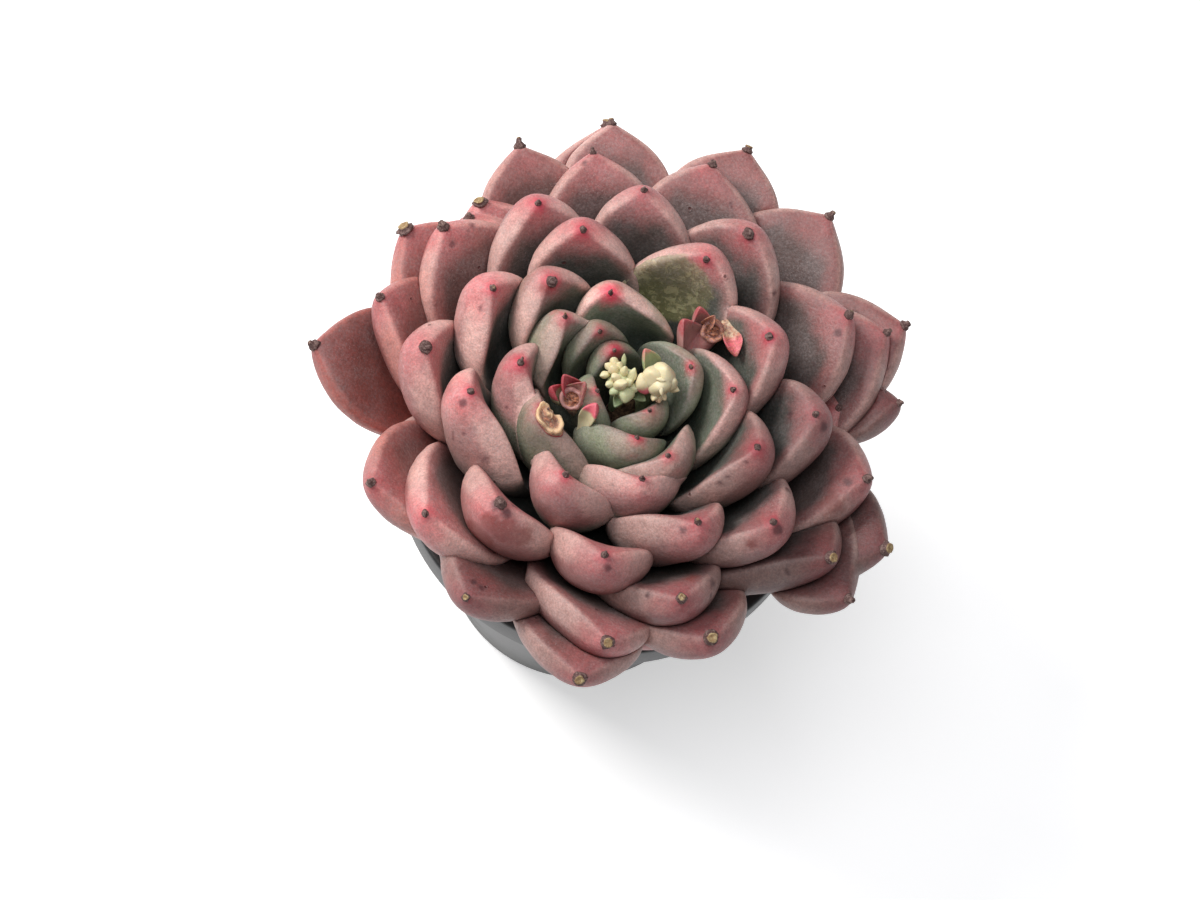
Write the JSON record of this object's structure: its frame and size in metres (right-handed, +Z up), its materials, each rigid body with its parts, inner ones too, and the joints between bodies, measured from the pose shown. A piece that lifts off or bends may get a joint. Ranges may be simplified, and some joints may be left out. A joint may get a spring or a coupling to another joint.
{
  "type": "potted echeveria",
  "caption": "Rosette succulent with thick cupped pink-grey leaves and small bud heads, rooted in gritty mix in a plain round nursery pot with drain holes.",
  "frame": {"origin": "middle of the pot's flat underside", "axes": "+Z up along the pot's and the plant's axis, -Y the plant's front, +X to its right seen from the front"},
  "size_m": [0.0801, 0.0821, 0.0698],
  "materials": {
    "pot": "matte moulded black plastic, slightly dusty",
    "soil": "loose dark potting mix with pale and rusty grit",
    "leaf": "fleshy leaf with a powdery bloom, dusty mauve-pink with grey-green depths",
    "bud_green": "waxy pale green and cream buds",
    "bud_cream": "waxy cream buds with a pink blush",
    "stalk_red": "cut stalk with red bracts",
    "stalk_brown": "dried brown stalk with red-brown bracts"
  },
  "bodies": {
    "root": {"pot": "pot", "soil": "soil", "rosette": "leaf", "bud_head_left": "bud_green", "bud_head_right": "bud_cream", "cut_stalk_left": "stalk_red", "cut_stalk_right": "stalk_brown"}
  },
  "joints": []
}
